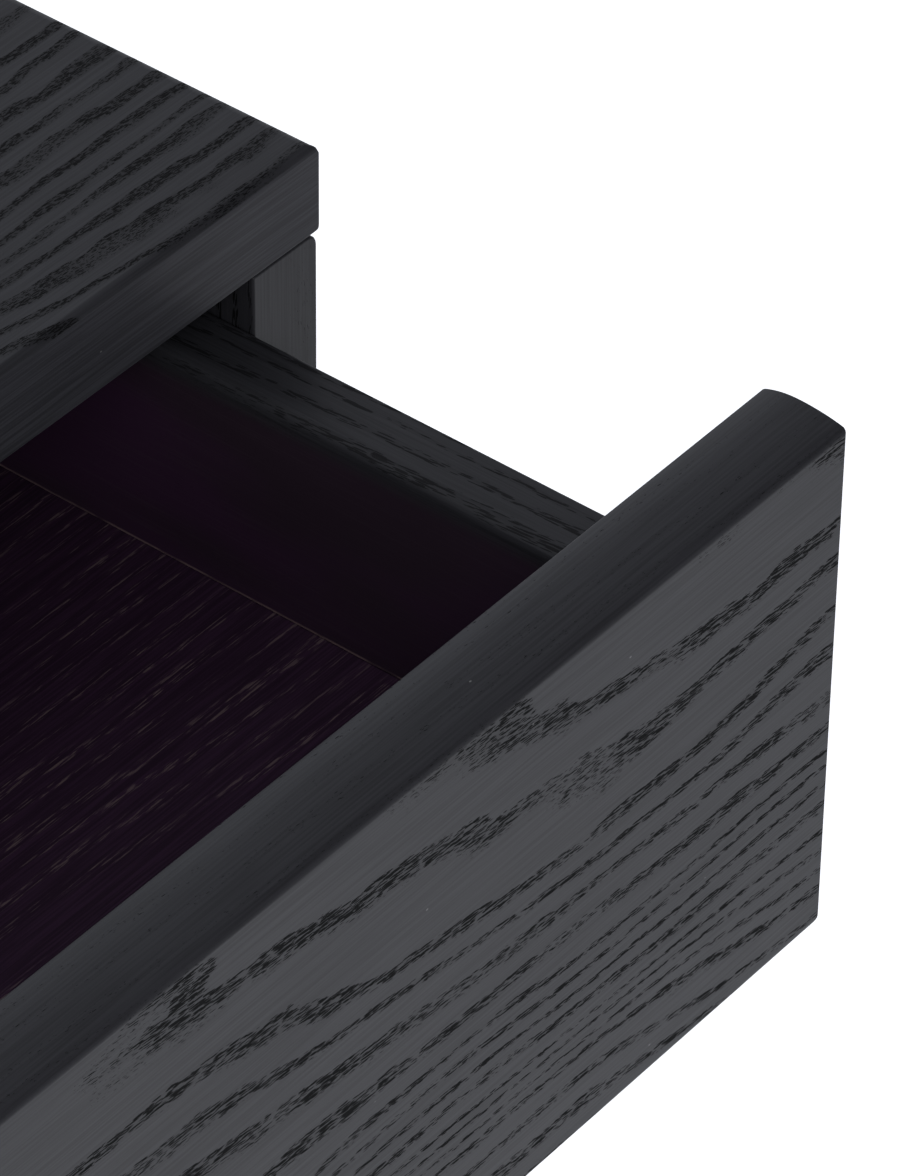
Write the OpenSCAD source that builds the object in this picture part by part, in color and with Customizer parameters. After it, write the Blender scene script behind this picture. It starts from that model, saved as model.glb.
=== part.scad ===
// Console table in black stained open-pore wood.
// A thick slab top stands on two full-height end panels. Under the slab, a shallow case
// holds two wooden drawers side by side. Each drawer box runs on wooden runners, is held
// down by kickers, and carries a thick applied front that covers the edges of the case.
// +X runs to the right along the table, +Y runs from the front to the back, +Z is up.
// The origin is on the floor, in the middle of the ground that the table and its open
// right drawer cover.

/* [Table] */
// Overall width of the top slab
width = 1200; // [1000:10:1600]
// Overall depth of the top slab
depth = 380; // [360:5:450]
// Height from the floor to the top of the slab
height = 760; // [600:10:900]
// Thickness of the top slab
slab_t = 22; // [20:1:30]
// Thickness of the end panels and the centre divider
panel_t = 20; // [20:1:28]
// How far the end panels stand in from the ends of the slab
panel_inset = 1; // [0:0.5:4]
// Height of the case opening under the slab
bay_h = 91; // [91:1:110]
// Thickness of the board under the drawers
board_t = 12; // [12:1:16]
// Thickness of the panel behind the drawers
back_t = 12; // [10:1:16]
// Height of the floor glides
glide_h = 5; // [3:1:10]

/* [Drawers] */
// Thickness of the drawer fronts
front_t = 20; // [18:1:24]
// Height of the drawer fronts
front_h = 130; // [125:1:145]
// How far the top of a front lies below the top of the slab
front_drop = 4; // [2:0.5:8]
// Gap between the two fronts
front_gap = 3; // [2:0.5:5]
// Thickness of the wood in the drawer boxes
box_t = 16; // [14:1:18]
// Front-to-back length of a drawer box
box_l = 350; // [300:5:350]
// Height of the box sides
box_h = 70; // [60:1:72]
// Distance from the slab down to the top of the box sides
box_drop = 13.5; // [13:0.5:16]
// Thickness of the drawer bottoms
bottom_t = 6; // [5:0.5:8]
// Height of the drawer bottom above the lower edge of the box sides
bottom_lift = 10.5; // [9:0.5:14]
// How far the left drawer stands open
left_open = 0; // [0:10:260]
// How far the right drawer stands open
right_open = 110; // [0:10:260]
// Full travel of a drawer, from shut to its stop
travel = 270; // [200:10:270]

/* [Edges] */
// Rounding of the slab ends along the top
slab_end_r = 3.5; // [1:0.5:6]
// Rounding of the slab and panel where they meet and leave a groove
groove_r = 3; // [1:0.5:5]
// Rounding of the long top edges of the slab
slab_front_r = 2.2; // [0.5:0.1:4]
// Slight rounding of the other edges
eased_r = 0.6; // [0.3:0.1:1.2]
// Rounding of the drawer fronts along their long front edges
front_r = 1.6; // [1:0.1:4]
// Rounding of the two lower corners of a drawer front
front_corner_r = 3.5; // [1:0.5:6]
// Radius of the crowned top edge of a front, towards the room
crown_front_r = 47; // [40:1:80]
// Radius of the crowned top edge of a front, towards the table
crown_back_r = 20; // [16:1:40]
// Distance of the crown's highest line from the back of the front
crown_y = 8; // [6:0.5:10]

/* [Hidden] */

$fn = 48;
past = 1;          // how far a cutter runs past the face it cuts
fit = 0.05;        // radial room round a dowel, bolt or screw in its hole
run_gap = 0.6;     // room between a box side and the case beside it
shut_gap = 1.7;    // room between a shut front and the case
rub_gap = 0.3;     // room between a box side and the glide strip under it

// Levels
z_slab = height - slab_t;
z_bay = z_slab - bay_h;
z_board = z_bay - board_t;
z_box_top = z_slab - box_drop;
z_box = z_box_top - box_h;
z_bottom = z_box + bottom_lift;
z_front_top = height - front_drop;
z_front = z_front_top - front_h;

// Front face of the slab, so that the table and its open drawer are centred on the origin
y_face = (right_open + shut_gap + front_t - depth) / 2;

// Case
x_out = width / 2 - panel_inset;
x_in = x_out - panel_t;
x_div = panel_t / 2;
bay_w = x_in - x_div;
bay_x = (x_in + x_div) / 2;
case_l = depth - back_t;

// Drawer
front_w = x_out - front_gap / 2;
front_x = (x_out + front_gap / 2) / 2 - bay_x;
box_w = bay_w - 2 * run_gap;
groove_d = 6;      // depth of the groove that holds a drawer bottom
groove_gap = 0.2;  // room round a drawer bottom in its groove

// Strips and stops
strip_w = 18;      // width of a runner or kicker
kicker_h = 12;
glide_t = 0.8;     // thickness of the slippery strip on a runner
glide_w = 12;
glide_x = (bay_w - glide_w) / 2 - 2;  // middle of a glide strip from the middle of its bay
runner_h = z_box - rub_gap - glide_t - z_bay;
strip_y = 25;      // distance of a runner or kicker from the front of the case
strip_l = case_l - strip_y;
strip_screw_y = [strip_y + 30, depth / 2, case_l - 40];
tab_t = 3;
tab_w = 30;
tab_h = 34;
tab_top = z_slab - 3;
stop_h = 11;
stop_l = 20;
stop_w = 50;
stop_y = box_l - shut_gap - travel - rub_gap;  // back face of a stop block

// Screws: length and diameter
kicker_screw = [25, 3.5];
strip_screw = [14, 3];
divider_screw = [40, 4];
back_screw = [35, 3.5];
front_screw = [30, 4];
bottom_screw = [25, 3];

// Fasteners
dowel_r = 4;
dowel_l = 30;
dowel_in = 10;     // length of a dowel in the board that it ties to
dowel_y = [35, depth / 2, depth - 35];
board_dowel_y = [35, case_l / 2 + 20, case_l - 25];
cam_y = [80, depth - 80];
cam_reach = 34;    // distance of a cam disc from the joint that it pulls tight
cam_r = 7.5;
cam_t = 12.5;
thin_cam_t = 9.5;
bolt_r = 3;
bolt_in = 11;
back_screw_x = [-x_in + 60, -bay_x / 2, bay_x / 2, x_in - 60];
back_screw_z = [z_bay + 20, z_slab - 20];
divider_screw_y = [60, case_l - 60];
stop_screw_x = 15;
glide_y = [40, depth - 40];
glide_r = 9;
nail_r = 1.2;
nail_l = 14;
box_dowel_r = 3;
box_dowel_l = 28;
box_dowel_in = 12;
box_dowel_z = [z_bottom + bottom_t + 12, z_box_top - 14];
front_screw_x = [-box_w / 2 + 70, box_w / 2 - 70];
front_screw_z = [z_bottom + bottom_t + 14, z_box_top - 12];
bottom_screw_x = [-box_w / 3, 0, box_w / 3];
tab_screw_x = [-9, 9];
tab_screw_z = z_box_top - 14;
bumper_t = 1.4;
bumper_r = 3;
bumper_x = bay_w / 2 + 4.2;
bumper_z = [z_bay - 4, z_slab - 8];

stain = [0.16, 0.16, 0.17];
stain_inside = [0.08, 0.06, 0.08];
beech = [0.80, 0.62, 0.42];
zinc = [0.72, 0.73, 0.75];
nylon = [0.90, 0.90, 0.86];
soft_clear = [0.80, 0.82, 0.84];
dark_plastic = [0.10, 0.10, 0.10];

// ---- Shared outlines and fasteners ----

// Quarter of waste at a corner: what is left of a square of side r round a circle of radius r
module corner_waste(r) {
    difference() {
        translate([-past, -past]) square(r + past);
        translate([r, r]) circle(r);
    }
}

// Rectangle with its own radius at each corner: lower left, lower right, upper right, upper left
module eased_rect(w, h, r) {
    difference() {
        square([w, h]);
        corner_waste(r[0]);
        translate([w, 0]) mirror([1, 0]) corner_waste(r[1]);
        translate([w, h]) mirror([1, 0]) mirror([0, 1]) corner_waste(r[2]);
        translate([0, h]) mirror([0, 1]) corner_waste(r[3]);
    }
}

// An outline in X and Z, swept along +Y from the origin
module along_y(l) {
    translate([0, l, 0]) rotate([90, 0, 0]) linear_extrude(l) children();
}

// An outline in Y and Z, swept along +X from the origin
module along_x(l) {
    rotate([90, 0, 90]) linear_extrude(l) children();
}

// Board with its long edges eased as seen from the front (xz) and from the side (yz)
module board(size, xz, yz) {
    intersection() {
        along_y(size[1]) eased_rect(size[0], size[2], xz);
        along_x(size[0]) eased_rect(size[1], size[2], yz);
    }
}

module plain_board(size) {
    board(size, [eased_r, eased_r, eased_r, eased_r], [eased_r, eased_r, eased_r, eased_r]);
}

// Countersunk wood screw along -Z with the top of its head at the origin.
// size is its length and diameter, and grow is the radial room round it.
module screw_body(size, grow = 0) {
    l = size[0];
    d = size[1];
    head_h = d / 2;
    tip_h = d;
    translate([0, 0, tip_h - l]) cylinder(h = l - tip_h, r = d / 2 + grow);
    translate([0, 0, -l]) cylinder(h = tip_h, r1 = d / 8 + grow, r2 = d / 2 + grow);
    translate([0, 0, -head_h]) cylinder(h = head_h, r1 = d / 2 + grow, r2 = d + grow);
}

module screw(size) {
    d = size[1];
    slot_w = d / 5;
    difference() {
        screw_body(size);
        for (turn = [0, 90])
            rotate([0, 0, turn]) translate([-d / 1.6, -slot_w / 2, -d / 3]) cube([d * 1.25, slot_w, d]);
    }
}

module screw_hole(size) {
    screw_body(size, fit);
    cylinder(h = past, r = size[1] + fit);
}

// Grooved dowel along +Z, with chamfered ends
module dowel(l, r) {
    chamfer = r / 4;
    cylinder(h = chamfer, r1 = r - chamfer, r2 = r);
    translate([0, 0, chamfer]) cylinder(h = l - 2 * chamfer, r = r);
    translate([0, 0, l - chamfer]) cylinder(h = chamfer, r1 = r, r2 = r - chamfer);
}

// Bolt of a cam fitting, across a joint at the origin: thread along +Z, head at the far end
module cam_bolt() {
    neck_r = 1.8;
    head_l = 4;
    cylinder(h = bolt_in, r = bolt_r);
    translate([0, 0, -cam_reach + head_l + 1]) cylinder(h = cam_reach - head_l - 1, r = bolt_r - 0.4);
    translate([0, 0, -cam_reach]) cylinder(h = head_l + 2, r = neck_r);
    translate([0, 0, -cam_reach - head_l / 2]) cylinder(h = head_l, r = bolt_r - 0.2);
}

module cam_bolt_hole() {
    cylinder(h = bolt_in + fit, r = bolt_r + fit);
    translate([0, 0, -cam_reach - bolt_r]) cylinder(h = cam_reach + bolt_r, r = bolt_r + fit);
}

// Disc of a cam fitting, from its open face at the origin down along -Z.
// Its bolt comes in from +X.
module cam_disc(t, bolt_z) {
    slot_l = 8;
    slot_w = 1.6;
    slot_h = 2;
    difference() {
        translate([0, 0, -t]) cylinder(h = t, r = cam_r - fit);
        translate([-3.2, 0, bolt_z]) rotate([0, 90, 0]) cylinder(h = 2 * cam_r, r = bolt_r + 0.2);
        translate([-slot_l / 2, -slot_w / 2, -slot_h]) cube([slot_l, slot_w, slot_h + past]);
        translate([-slot_w / 2, -slot_l / 2, -slot_h]) cube([slot_w, slot_l, slot_h + past]);
    }
}

module cam_disc_hole(t) {
    translate([0, 0, -t - fit]) cylinder(h = t + fit + past, r = cam_r);
}

// ---- Case ----

// Places of the fittings. Each joint faces +Z on the lower board.
module at_slab_dowels() {
    for (x = [-x_out + panel_t / 2, 0, x_out - panel_t / 2], y = dowel_y)
        translate([x, y_face + (x == 0 ? y * case_l / depth : y), z_slab + dowel_in - dowel_l]) children();
}

module at_slab_bolts() {
    for (x = [-x_out + panel_t / 2, 0, x_out - panel_t / 2], y = cam_y)
        translate([x, y_face + y, z_slab]) children();
}

module at_board_bolts() {
    for (s = [-1, 1], y = cam_y)
        translate([s * x_in, y_face + y, z_board + board_t / 2]) rotate([0, s * 90, 0]) children();
}

module at_board_dowels() {
    for (s = [-1, 1], y = board_dowel_y)
        translate([s * (x_in + dowel_in - dowel_l), y_face + y, z_board + board_t / 2])
            rotate([0, s * 90, 0]) children();
}

// A cam disc in an upright board opens towards the middle of the table
module at_upright_discs(x, s) {
    for (y = cam_y)
        translate([x, y_face + y, z_slab - cam_reach]) rotate([0, -90 * s, 0]) children();
}

module at_board_discs() {
    for (s = [-1, 1], y = cam_y)
        translate([s * (x_in - cam_reach), y_face + y, z_bay]) rotate([0, 0, s > 0 ? 0 : 180]) children();
}

module at_glides() {
    for (x = [-x_out + panel_t / 2, x_out - panel_t / 2], y = glide_y)
        translate([x, y_face + y, 0]) children();
}

module at_back_screws() {
    for (x = back_screw_x)
        translate([x, y_face + depth, z_board + board_t / 2]) rotate([-90, 0, 0]) children();
    for (z = back_screw_z)
        translate([0, y_face + depth, z]) rotate([-90, 0, 0]) children();
}

module at_divider_screws() {
    for (y = divider_screw_y)
        translate([0, y_face + y, z_board]) rotate([180, 0, 0]) children();
}

module at_strip_screws(z, up) {
    for (b = [-1, 1], s = [-1, 1], y = strip_screw_y)
        translate([b * bay_x + s * (bay_w - strip_w) / 2, y_face + y, z])
            rotate([up ? 180 : 0, 0, 0]) children();
}

module at_stop_screws() {
    for (b = [-1, 1], s = [-1, 1])
        translate([b * bay_x + s * stop_screw_x, y_face + stop_y - stop_l / 2, z_slab - stop_h])
            rotate([180, 0, 0]) children();
}

module top_slab() {
    color(stain) difference() {
        translate([-width / 2, y_face, z_slab])
            board([width, depth, slab_t], [groove_r, groove_r, slab_end_r, slab_end_r],
                [eased_r, eased_r, slab_front_r, slab_front_r]);
        at_slab_dowels() cylinder(h = dowel_l + fit, r = dowel_r + fit);
        at_slab_bolts() cam_bolt_hole();
        at_strip_screws(z_slab - kicker_h, true) screw_hole(kicker_screw);
        at_stop_screws() screw_hole(kicker_screw);
    }
}

// Upright end panel. s is 1 on the right and -1 on the left.
module end_panel(s) {
    color(stain) difference() {
        mirror([s < 0 ? 1 : 0, 0, 0]) translate([x_in, y_face, glide_h])
            board([panel_t, depth, z_slab - glide_h], [eased_r, eased_r, groove_r, eased_r],
                [eased_r, eased_r, eased_r, eased_r]);
        at_slab_dowels() translate([0, 0, -fit]) cylinder(h = dowel_l, r = dowel_r + fit);
        at_slab_bolts() cam_bolt_hole();
        at_upright_discs(s * x_in, s) cam_disc_hole(cam_t);
        at_board_dowels() cylinder(h = dowel_l + fit, r = dowel_r + fit);
        at_board_bolts() cam_bolt_hole();
        at_glides() cylinder(h = glide_h + nail_l + past, r = nail_r + fit);
    }
}

module centre_divider() {
    color(stain_inside) difference() {
        translate([-x_div, y_face, z_bay]) plain_board([panel_t, case_l, bay_h]);
        at_slab_dowels() translate([0, 0, -fit]) cylinder(h = dowel_l, r = dowel_r + fit);
        at_slab_bolts() cam_bolt_hole();
        at_upright_discs(-x_div, 1) cam_disc_hole(cam_t);
        at_divider_screws() screw_hole(divider_screw);
        at_back_screws() screw_hole(back_screw);
    }
}

module bottom_board() {
    color(stain) difference() {
        translate([-x_in, y_face, z_board]) plain_board([2 * x_in, case_l, board_t]);
        at_board_dowels() translate([0, 0, -fit]) cylinder(h = dowel_l, r = dowel_r + fit);
        at_board_bolts() cam_bolt_hole();
        at_board_discs() cam_disc_hole(thin_cam_t);
        at_divider_screws() screw_hole(divider_screw);
        at_back_screws() screw_hole(back_screw);
        at_strip_screws(z_bay + runner_h, false) screw_hole(strip_screw);
    }
}

module back_panel() {
    color(stain) difference() {
        translate([-x_in, y_face + case_l, z_board]) plain_board([2 * x_in, back_t, z_slab - z_board]);
        at_back_screws() screw_hole(back_screw);
    }
}

module slab_dowels() {
    color(beech) at_slab_dowels() dowel(dowel_l, dowel_r);
}

module board_dowels() {
    color(beech) at_board_dowels() dowel(dowel_l, dowel_r);
}

module cam_bolts() {
    color(zinc) {
        at_slab_bolts() cam_bolt();
        at_board_bolts() cam_bolt();
    }
}

module cam_discs() {
    color(zinc) {
        for (s = [-1, 1])
            at_upright_discs(s * x_in, s) rotate([0, 0, s > 0 ? 0 : 180]) cam_disc(cam_t, -panel_t / 2);
        at_upright_discs(-x_div, 1) cam_disc(cam_t, -panel_t / 2);
        at_board_discs() cam_disc(thin_cam_t, -board_t / 2);
    }
}

module divider_screws() {
    color(zinc) at_divider_screws() screw(divider_screw);
}

module back_panel_screws() {
    color(zinc) at_back_screws() screw(back_screw);
}

// Wooden runner under one side of a drawer box. b picks the bay, s the side of the bay.
module runner(b, s) {
    color(stain_inside) difference() {
        translate([b * bay_x + s * (bay_w - strip_w) / 2 - strip_w / 2, y_face + strip_y, z_bay])
            plain_board([strip_w, strip_l, runner_h]);
        at_strip_screws(z_bay + runner_h, false) screw_hole(strip_screw);
    }
}

// Kicker over one side of a drawer box, which keeps the box level when it is pulled out
module kicker(b, s) {
    color(stain_inside) difference() {
        translate([b * bay_x + s * (bay_w - strip_w) / 2 - strip_w / 2, y_face + strip_y, z_slab - kicker_h])
            plain_board([strip_w, strip_l, kicker_h]);
        at_strip_screws(z_slab - kicker_h, true) screw_hole(kicker_screw);
    }
}

module runner_glide_strips() {
    color(nylon) for (b = [-1, 1], s = [-1, 1])
        translate([b * bay_x + s * glide_x - glide_w / 2, y_face + strip_y, z_bay + runner_h])
            cube([glide_w, strip_l, glide_t]);
}

module runner_screws() {
    color(zinc) at_strip_screws(z_bay + runner_h, false) screw(strip_screw);
}

module kicker_screws() {
    color(zinc) at_strip_screws(z_slab - kicker_h, true) screw(kicker_screw);
}

module stop_blocks() {
    color(stain_inside) difference() {
        for (b = [-1, 1])
            translate([b * bay_x - stop_w / 2, y_face + stop_y - stop_l, z_slab - stop_h])
                plain_board([stop_w, stop_l, stop_h]);
        at_stop_screws() screw_hole(kicker_screw);
    }
}

module stop_block_screws() {
    color(zinc) at_stop_screws() screw(kicker_screw);
}

// Turned plastic glide with its nail
module floor_glides() {
    color(dark_plastic) at_glides() {
        rotate_extrude() difference() {
            square([glide_r, glide_h]);
            translate([glide_r, 0]) mirror([1, 0]) corner_waste(glide_r / 6);
        }
        cylinder(h = glide_h + nail_l, r = nail_r);
    }
}

// ---- Drawers ----

// A drawer is drawn shut, about the middle of its bay, with y = 0 at the front of the case.
// b is 1 for the right drawer and -1 for the left one.
module place_drawer(b) {
    translate([b * bay_x, y_face - (b > 0 ? right_open : left_open), 0]) children();
}

// Side view of a front: y = 0 is its face towards the room
module front_outline() {
    peak = front_t - crown_y;
    reach = (peak - front_r) / (crown_front_r - front_r);
    touch = front_r - front_r * reach;
    z_round = front_h - crown_front_r + sqrt(pow(crown_front_r - front_r, 2) - pow(peak - front_r, 2));
    difference() {
        union() {
            intersection() {
                square([peak, front_h]);
                translate([peak, front_h - crown_front_r]) circle(crown_front_r, $fn = 360);
                union() {
                    square([peak, z_round]);
                    translate([front_r, z_round]) circle(front_r);
                    translate([touch, 0]) square([peak, front_h]);
                }
            }
            intersection() {
                translate([peak, 0]) square([crown_y, front_h]);
                translate([peak, front_h - crown_back_r]) circle(crown_back_r, $fn = 180);
            }
            square([front_t, front_h - crown_back_r / 2]);
        }
        corner_waste(front_r);
        translate([front_t, 0]) mirror([1, 0]) corner_waste(eased_r);
    }
}

module at_front_screws() {
    for (x = front_screw_x, z = front_screw_z)
        translate([x, box_t - shut_gap, z]) rotate([-90, 0, 0]) children();
}

module at_box_dowels() {
    for (s = [-1, 1], z = box_dowel_z) {
        translate([s * (box_w / 2 - box_t + box_dowel_in - box_dowel_l), box_t / 2 - shut_gap, z])
            rotate([0, s * 90, 0]) children();
        translate([s * (box_w / 2 - box_t + box_dowel_in - box_dowel_l), box_l - box_t / 2 - shut_gap, z])
            rotate([0, s * 90, 0]) children();
    }
}

module at_bottom_screws() {
    for (x = bottom_screw_x)
        translate([x, box_l - box_t / 2 - shut_gap, z_bottom]) rotate([180, 0, 0]) children();
}

module at_tab_screws() {
    for (x = tab_screw_x)
        translate([x, box_l - shut_gap + tab_t, tab_screw_z]) rotate([-90, 0, 0]) children();
}

module drawer_front(b) {
    color(stain) place_drawer(b) difference() {
        translate([b * front_x - front_w / 2, -shut_gap - front_t, z_front]) intersection() {
            along_x(front_w) front_outline();
            along_y(front_t) eased_rect(front_w, front_h, [front_corner_r, front_corner_r, eased_r, eased_r]);
            linear_extrude(front_h) eased_rect(front_w, front_t, [eased_r, eased_r, eased_r, eased_r]);
        }
        at_front_screws() screw_hole(front_screw);
    }
}

module drawer_box_front(b) {
    color(stain_inside) place_drawer(b) difference() {
        translate([-box_w / 2 + box_t, -shut_gap, z_box]) cube([box_w - 2 * box_t, box_t, box_h]);
        translate([-box_w / 2, box_t - shut_gap - groove_d, z_bottom - groove_gap / 2])
            cube([box_w, groove_d + past, bottom_t + groove_gap]);
        at_front_screws() screw_hole(front_screw);
        at_box_dowels() cylinder(h = box_dowel_l, r = box_dowel_r + fit);
    }
}

// Side of a box. s is 1 for the right side and -1 for the left one.
module drawer_side(b, s) {
    inner_r = 3;
    color(stain_inside) place_drawer(b) difference() {
        mirror([s < 0 ? 1 : 0, 0, 0]) translate([box_w / 2 - box_t, -shut_gap, z_box])
            along_y(box_l) eased_rect(box_t, box_h, [eased_r, eased_r, 1, inner_r]);
        translate([s * (box_w / 2 - box_t) - groove_d, -shut_gap - past, z_bottom - groove_gap / 2])
            cube([2 * groove_d, box_l + 2 * past, bottom_t + groove_gap]);
        at_box_dowels() cylinder(h = box_dowel_l + fit, r = box_dowel_r + fit);
    }
}

module drawer_back(b) {
    color(stain_inside) place_drawer(b) difference() {
        translate([-box_w / 2 + box_t, box_l - box_t - shut_gap, z_bottom + bottom_t])
            board([box_w - 2 * box_t, box_t, z_box_top - z_bottom - bottom_t],
                [0.3, 0.3, 0.3, 0.3], [eased_r, eased_r, eased_r, eased_r]);
        at_box_dowels() cylinder(h = box_dowel_l, r = box_dowel_r + fit);
        at_bottom_screws() screw_hole(bottom_screw);
        at_tab_screws() screw_hole(strip_screw);
    }
}

module drawer_bottom(b) {
    bottom_w = box_w - 2 * box_t + 2 * (groove_d - groove_gap);
    color(stain_inside) place_drawer(b) difference() {
        translate([-bottom_w / 2, box_t - shut_gap - groove_d + groove_gap, z_bottom])
            cube([bottom_w, box_l - box_t + groove_d - groove_gap, bottom_t]);
        at_bottom_screws() screw_hole(bottom_screw);
    }
}

module drawer_front_screws(b) {
    color(zinc) place_drawer(b) at_front_screws() screw(front_screw);
}

module drawer_box_dowels(b) {
    color(beech) place_drawer(b) at_box_dowels() dowel(box_dowel_l, box_dowel_r);
}

module drawer_bottom_screws(b) {
    color(zinc) place_drawer(b) at_bottom_screws() screw(bottom_screw);
}

// Plate on the back of a box that meets the stop block when the drawer is fully out
module drawer_stop_tab(b) {
    color(nylon) place_drawer(b) difference() {
        translate([-tab_w / 2, box_l - shut_gap, tab_top - tab_h])
            along_y(tab_t) eased_rect(tab_w, tab_h, [3, 3, 3, 3]);
        at_tab_screws() screw_hole(strip_screw);
    }
}

module drawer_tab_screws(b) {
    color(zinc) place_drawer(b) at_tab_screws() screw(strip_screw);
}

// Soft dots on the back of a front, which land on the ends of the case edges
module drawer_bumpers(b) {
    color(soft_clear) place_drawer(b) for (x = [-bumper_x, bumper_x], z = bumper_z)
        translate([x, -shut_gap, z]) rotate([-90, 0, 0]) {
            cylinder(h = bumper_t / 2, r = bumper_r);
            translate([0, 0, bumper_t / 2]) cylinder(h = bumper_t / 2, r1 = bumper_r, r2 = bumper_r - 0.6);
        }
}

top_slab();
end_panel(-1);  // left_end_panel
end_panel(1);  // right_end_panel
centre_divider();
bottom_board();
back_panel();
slab_dowels();
board_dowels();
cam_bolts();
cam_discs();
divider_screws();
back_panel_screws();
runner(-1, -1);  // left_bay_left_runner
runner(-1, 1);  // left_bay_right_runner
runner(1, -1);  // right_bay_left_runner
runner(1, 1);  // right_bay_right_runner
kicker(-1, -1);  // left_bay_left_kicker
kicker(-1, 1);  // left_bay_right_kicker
kicker(1, -1);  // right_bay_left_kicker
kicker(1, 1);  // right_bay_right_kicker
runner_glide_strips();
runner_screws();
kicker_screws();
stop_blocks();
stop_block_screws();
floor_glides();
drawer_front(-1);  // left_drawer_front
drawer_box_front(-1);  // left_drawer_box_front
drawer_side(-1, -1);  // left_drawer_left_side
drawer_side(-1, 1);  // left_drawer_right_side
drawer_back(-1);  // left_drawer_back
drawer_bottom(-1);  // left_drawer_bottom
drawer_front_screws(-1);  // left_drawer_front_screws
drawer_box_dowels(-1);  // left_drawer_box_dowels
drawer_bottom_screws(-1);  // left_drawer_bottom_screws
drawer_stop_tab(-1);  // left_drawer_stop_tab
drawer_tab_screws(-1);  // left_drawer_tab_screws
drawer_bumpers(-1);  // left_drawer_bumpers
drawer_front(1);  // right_drawer_front
drawer_box_front(1);  // right_drawer_box_front
drawer_side(1, -1);  // right_drawer_left_side
drawer_side(1, 1);  // right_drawer_right_side
drawer_back(1);  // right_drawer_back
drawer_bottom(1);  // right_drawer_bottom
drawer_front_screws(1);  // right_drawer_front_screws
drawer_box_dowels(1);  // right_drawer_box_dowels
drawer_bottom_screws(1);  // right_drawer_bottom_screws
drawer_stop_tab(1);  // right_drawer_stop_tab
drawer_tab_screws(1);  // right_drawer_tab_screws
drawer_bumpers(1);  // right_drawer_bumpers
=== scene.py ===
"""Console table in black stained open-pore wood.

Models the boards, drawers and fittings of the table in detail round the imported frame, gives every
piece its finish, and sets up the floor, the studio light and the camera.
"""

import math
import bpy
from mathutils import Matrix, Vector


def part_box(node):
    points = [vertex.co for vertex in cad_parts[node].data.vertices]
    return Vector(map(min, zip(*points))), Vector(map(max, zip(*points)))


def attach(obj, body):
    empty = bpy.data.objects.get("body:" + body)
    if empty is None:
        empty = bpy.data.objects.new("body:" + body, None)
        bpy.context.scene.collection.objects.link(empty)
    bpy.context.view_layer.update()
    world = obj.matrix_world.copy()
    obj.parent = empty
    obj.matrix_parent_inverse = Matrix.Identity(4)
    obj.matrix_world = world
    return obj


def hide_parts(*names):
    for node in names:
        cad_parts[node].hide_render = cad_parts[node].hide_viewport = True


bl_info = {
    "name": "Console Table",
    "version": (1, 0, 0),
    "blender": (4, 5, 0),
    "location": "View3D > Sidebar > Console Table",
    "description": "Builds the looks of a two-drawer console table round its frame",
    "category": "Object",
}

import bmesh
import bpy
from bpy.props import FloatProperty, FloatVectorProperty, IntProperty, PointerProperty
from mathutils import Matrix, Vector

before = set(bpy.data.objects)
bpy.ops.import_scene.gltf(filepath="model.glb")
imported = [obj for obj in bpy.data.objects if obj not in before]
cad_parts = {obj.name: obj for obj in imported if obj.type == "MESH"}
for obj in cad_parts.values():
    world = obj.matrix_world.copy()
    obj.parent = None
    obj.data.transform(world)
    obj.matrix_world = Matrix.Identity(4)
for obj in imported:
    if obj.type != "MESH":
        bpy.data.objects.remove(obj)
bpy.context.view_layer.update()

MM = 0.001
AXES = {"X": 0, "Y": 1, "Z": 2}
SIDES = (("left", "right"), ("front", "back"), ("bottom", "top"))
DRAWERS = ("left", "right")


# ---------------------------------------------------------------- settings


class TableEdges(bpy.types.PropertyGroup):
    """Roundings of the wooden pieces."""

    slab_end: FloatProperty(
        name="Slab ends", description="Rounding of the slab's ends along the top",
        default=3.5 * MM, min=0.5 * MM, max=6 * MM, unit="LENGTH",
    )
    slab_front: FloatProperty(
        name="Slab front", description="Rounding of the long upper edges of the slab",
        default=2.2 * MM, min=0.5 * MM, max=4 * MM, unit="LENGTH",
    )
    groove: FloatProperty(
        name="Groove", description="Rounding on both sides of the groove between slab and end panel",
        default=3 * MM, min=0.5 * MM, max=5 * MM, unit="LENGTH",
    )
    front: FloatProperty(
        name="Drawer front", description="Rounding of a drawer front's long front edges",
        default=1.6 * MM, min=0.5 * MM, max=4 * MM, unit="LENGTH",
    )
    front_corner: FloatProperty(
        name="Front corners", description="Rounding of the two lower corners of a drawer front",
        default=3.5 * MM, min=0.5 * MM, max=6 * MM, unit="LENGTH",
    )
    box_side: FloatProperty(
        name="Box side", description="Rounding of a box side's inner upper edge",
        default=3 * MM, min=0.5 * MM, max=5 * MM, unit="LENGTH",
    )
    eased: FloatProperty(
        name="Eased", description="Light rounding of all other edges",
        default=0.6 * MM, min=0.2 * MM, max=1.2 * MM, unit="LENGTH",
    )
    crisp: FloatProperty(
        name="Crisp", description="Least rounding, on the back upper edge of a drawer front",
        default=0.5 * MM, min=0.1 * MM, max=1.0 * MM, unit="LENGTH",
    )
    steps: IntProperty(
        name="Steps", description="Faces across each rounding", default=5, min=2, max=12,
    )
    crown_front: FloatProperty(
        name="Crown, front arc", description="Radius of a drawer front's crown towards the room",
        default=47 * MM, min=40 * MM, max=80 * MM, unit="LENGTH",
    )
    crown_back: FloatProperty(
        name="Crown, back arc", description="Radius of a drawer front's crown towards the table",
        default=20 * MM, min=16 * MM, max=40 * MM, unit="LENGTH",
    )
    crown_peak: FloatProperty(
        name="Crown peak", description="Distance of the crown's highest line from the back of the front",
        default=8 * MM, min=6 * MM, max=10 * MM, unit="LENGTH",
    )
    crown_strips: IntProperty(
        name="Crown strips", description="Faces across the crowned top of a drawer front",
        default=16, min=6, max=32,
    )


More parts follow.
